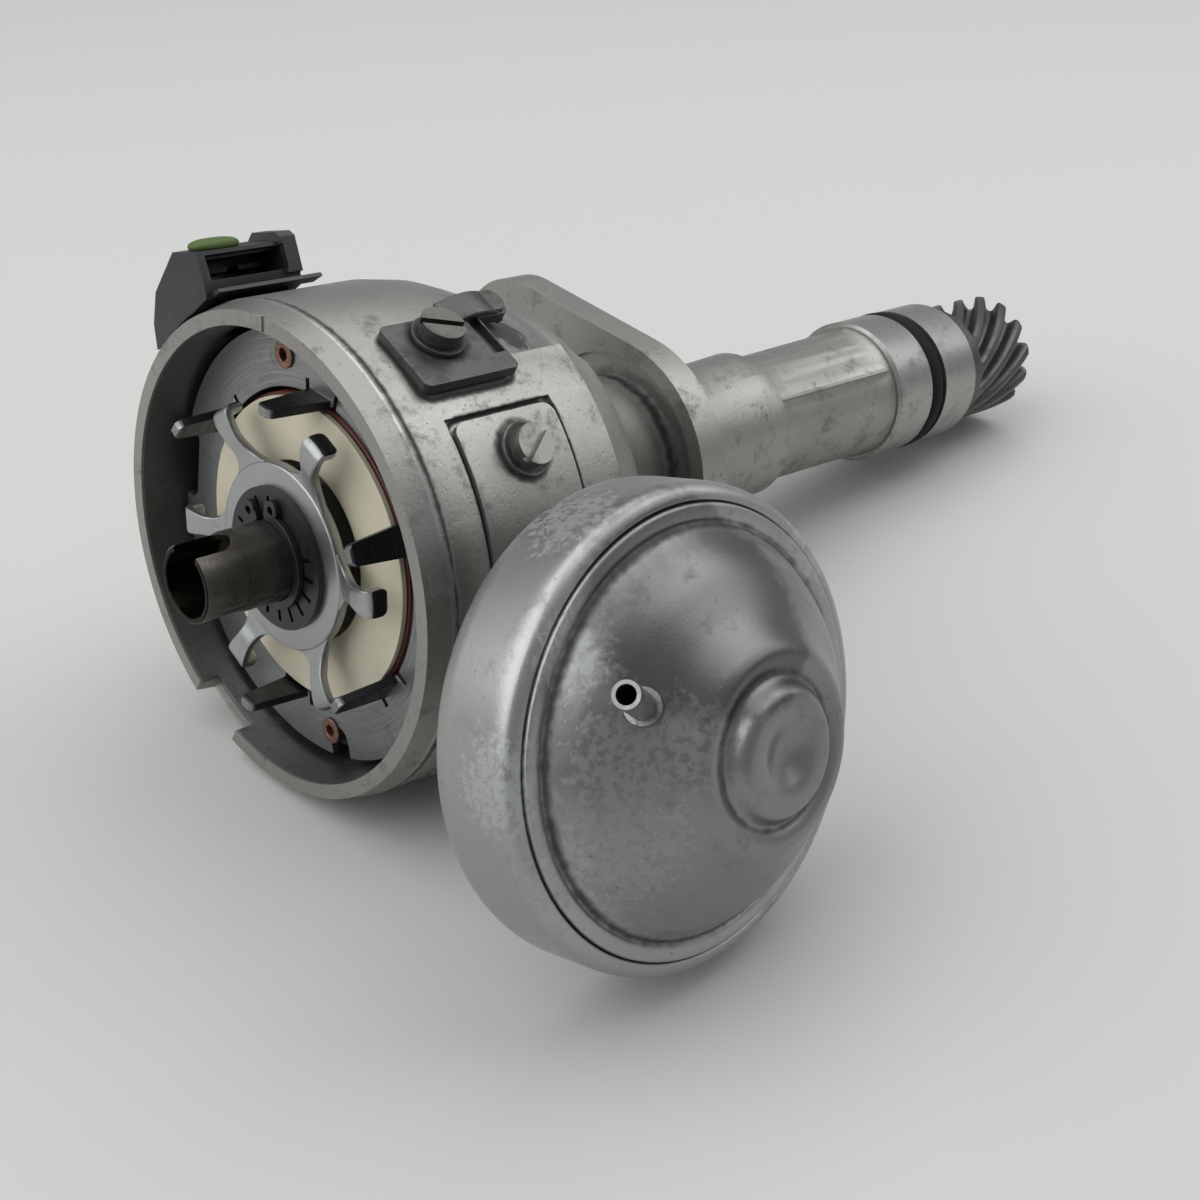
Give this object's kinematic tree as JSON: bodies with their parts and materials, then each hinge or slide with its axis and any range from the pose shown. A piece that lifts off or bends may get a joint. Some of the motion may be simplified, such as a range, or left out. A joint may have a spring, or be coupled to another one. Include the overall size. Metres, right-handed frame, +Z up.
{
  "type": "ignition distributor",
  "caption": "Ignition distributor body with turning trigger wheel, magnetic pickup, weight and vacuum advance, hose stub, connector, slotted hold-down flange and helical drive gear.",
  "frame": {"origin": "on the shaft axis, level with the rim that the cap sits on", "axes": "+X along the shaft from the cap rim to the gear, +Z up as it lies with the vacuum unit on the -Y side"},
  "size_m": [0.2407, 0.1524, 0.0952],
  "materials": {
    "cast_alloy": "bead-blasted casting",
    "bush_bronze": "sintered bronze",
    "black_rubber": "matte",
    "shaft_steel": "ground",
    "gear_iron": "dark cut iron",
    "weight_iron": "sintered",
    "spring_steel": "wire",
    "rotor_steel": "turned, dark",
    "wheel_steel": "zinc plated",
    "hub_black": "blackened",
    "felt": "oily felt",
    "plate_steel": "brushed",
    "copper": "copper",
    "ferrite": "bonded ferrite",
    "cream_plastic": "moulded",
    "coil_wire": "enamelled wire",
    "zinc_steel": "zinc plated, worn",
    "clip_steel": "zinc plated",
    "screw_steel": "zinc plated, grimy",
    "black_plastic": "dusty moulding",
    "tin_brass": "tinned",
    "green_rubber": "lime green seal"
  },
  "bodies": {
    "distributor_body": {"housing": "cast_alloy", "upper_bush": "bush_bronze", "lower_bush": "bush_bronze", "stem_o_ring": "black_rubber", "base_plate": "plate_steel", "vacuum_bracket": "zinc_steel", "bracket_washers": "screw_steel", "bracket_screws": "screw_steel", "vacuum_cup": "zinc_steel", "vacuum_cover": "zinc_steel", "hose_nipple": "zinc_steel", "connector_body": "black_plastic", "connector_terminals": "tin_brass", "connector_seal": "green_rubber", "clip_bracket": "clip_steel", "clip_washer": "screw_steel", "clip_screw": "screw_steel", "diaphragm": "black_rubber", "return_spring": "spring_steel"},
    "drive_line": {"drive_shaft": "shaft_steel", "drive_gear": "gear_iron", "gear_pin": "shaft_steel", "lower_thrust_washer": "shaft_steel", "upper_thrust_washer": "shaft_steel", "weight_plate": "shaft_steel", "weight_pivot_pins": "shaft_steel", "advance_spring_a": "spring_steel", "advance_spring_b": "spring_steel"},
    "weight_a": {"flyweight_a": "weight_iron"},
    "weight_b": {"flyweight_b": "weight_iron"},
    "rotor_head": {"rotor_shaft": "rotor_steel", "trigger_wheel": "wheel_steel", "hub_washer": "hub_black", "snap_ring": "hub_black", "felt_wick": "felt"},
    "pickup": {"stator_plate": "plate_steel", "stator_eyelets": "copper", "ring_magnet": "ferrite", "coil_former": "cream_plastic", "coil_winding": "coil_wire", "pickup_carrier": "plate_steel", "carrier_pin": "shaft_steel", "carrier_pads": "cream_plastic"},
    "vacuum_rod": {"diaphragm_plates": "zinc_steel", "pull_rod": "zinc_steel"}
  },
  "joints": [
    {"name": "shaft_spin", "type": "hinge", "parent": "distributor_body", "child": "drive_line", "pos_m": [0, 0, 0], "axis": [1, 0, 0], "continuous": true},
    {"name": "rotor_advance", "type": "hinge", "parent": "drive_line", "child": "rotor_head", "pos_m": [0, 0, 0], "axis": [1, 0, 0], "range_deg": [0, 12], "deforming": ["advance_spring_a", "advance_spring_b"]},
    {"name": "weight_a_swing", "type": "hinge", "parent": "drive_line", "child": "weight_a", "pos_m": [0, 0, 0.019], "axis": [1, 0, 0], "range_deg": [0, 12]},
    {"name": "weight_b_swing", "type": "hinge", "parent": "drive_line", "child": "weight_b", "pos_m": [0, 0, -0.019], "axis": [1, 0, 0], "range_deg": [0, 12]},
    {"name": "pickup_turn", "type": "hinge", "parent": "distributor_body", "child": "pickup", "pos_m": [0, 0, 0], "axis": [-1, 0, 0], "range_deg": [0, 8]},
    {"name": "rod_pull", "type": "slide", "parent": "distributor_body", "child": "vacuum_rod", "axis": [0, -0.9583, 0.2857], "range_m": [0, 0.00341], "deforming": ["return_spring", "diaphragm"]}
  ],
  "couplings": [
    {"joint": "weight_a_swing", "follows": "rotor_advance", "ratio": 1},
    {"joint": "weight_b_swing", "follows": "rotor_advance", "ratio": 1},
    {"joint": "rod_pull", "follows": "pickup_turn", "m_per_rad": 0.0244}
  ]
}
